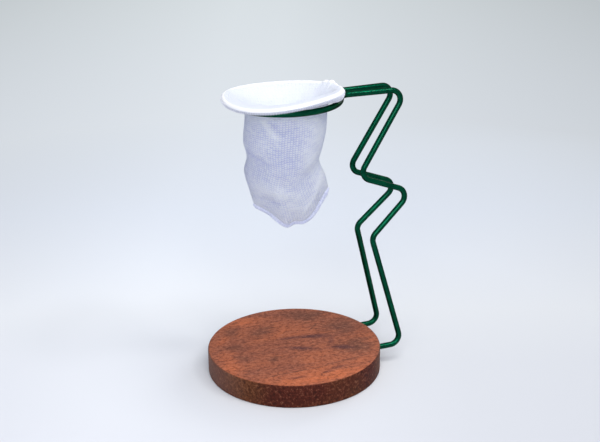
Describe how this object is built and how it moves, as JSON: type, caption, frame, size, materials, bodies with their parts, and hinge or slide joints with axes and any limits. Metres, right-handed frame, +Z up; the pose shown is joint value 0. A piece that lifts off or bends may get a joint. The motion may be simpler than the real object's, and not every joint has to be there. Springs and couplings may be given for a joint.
{
  "type": "coffee filter stand",
  "caption": "Small pour-over coffee stand: a zig-zag bent wire frame in a round wooden base holds a hooped cloth filter bag over the cup.",
  "frame": {"origin": "centre of the wooden base's underside", "axes": "+Z up, +X from the base's centre towards the wire's feet, +Y to the far leg"},
  "size_m": [0.1286, 0.11, 0.1851],
  "materials": {
    "hardwood": "satin",
    "green_paint": "gloss",
    "hoop_steel": "satin",
    "binding_cloth": "matte",
    "bag_cloth": "matte",
    "thread": "matte"
  },
  "bodies": {
    "base": {"wooden_base": "hardwood"},
    "frame": {"wire_frame": "green_paint"},
    "filter": {"filter_hoop": "hoop_steel", "rim_binding": "binding_cloth", "rim_stitching": "thread", "filter_bag": "bag_cloth", "bag_seam": "bag_cloth", "seam_stitching": "thread"}
  },
  "joints": [
    {"name": "frame_pull", "type": "slide", "parent": "base", "child": "frame", "axis": [1, 0, 0], "range_m": [0, 0.027]},
    {"name": "filter_lift", "type": "slide", "parent": "frame", "child": "filter", "axis": [0, 0, 1], "range_m": [0, 0.1]}
  ]
}
